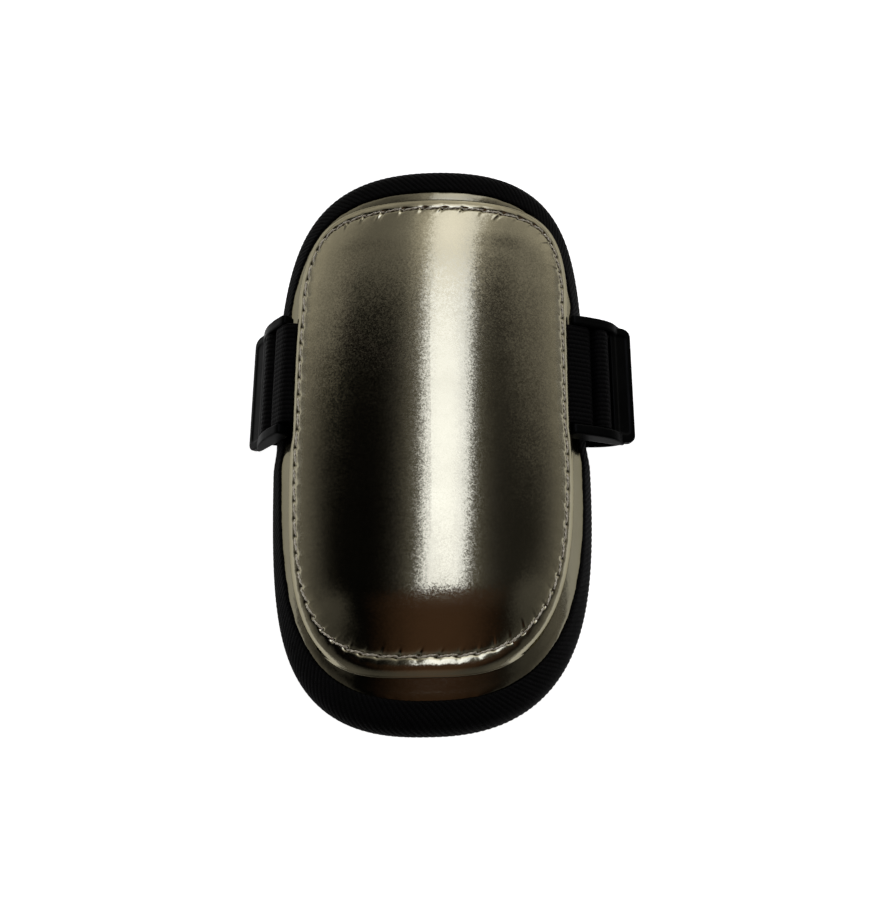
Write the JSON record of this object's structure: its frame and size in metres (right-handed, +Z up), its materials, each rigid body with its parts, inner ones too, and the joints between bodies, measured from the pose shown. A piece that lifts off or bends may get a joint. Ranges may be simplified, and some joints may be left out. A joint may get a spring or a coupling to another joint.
{
  "type": "elbow guard",
  "caption": "Arched padded elbow guard with a raised stitched panel in metallic leather, taped rim, and an under-arm strap held by a ladder buckle on each side.",
  "frame": {"origin": "middle of the guard's footprint, on the surface that it lies on", "axes": "+Z up from the surface, +Y along the forearm towards the squarer end, +X across the arm towards the raised buckle"},
  "size_m": [0.1358, 0.2034, 0.0436],
  "materials": {
    "metallic_leather": "champagne metallic coated leather, semi-gloss with fine grain",
    "black_binding": "black woven twill tape",
    "black_webbing": "black woven elastic webbing",
    "black_plastic": "black moulded plastic, satin"
  },
  "bodies": {
    "root": {"base_pad": "metallic_leather", "shell_panel": "metallic_leather", "edge_binding": "black_binding", "strap": "black_webbing", "buckle_right": "black_plastic", "buckle_left": "black_plastic", "tab_right": "black_webbing", "tab_left": "black_webbing"}
  },
  "joints": []
}
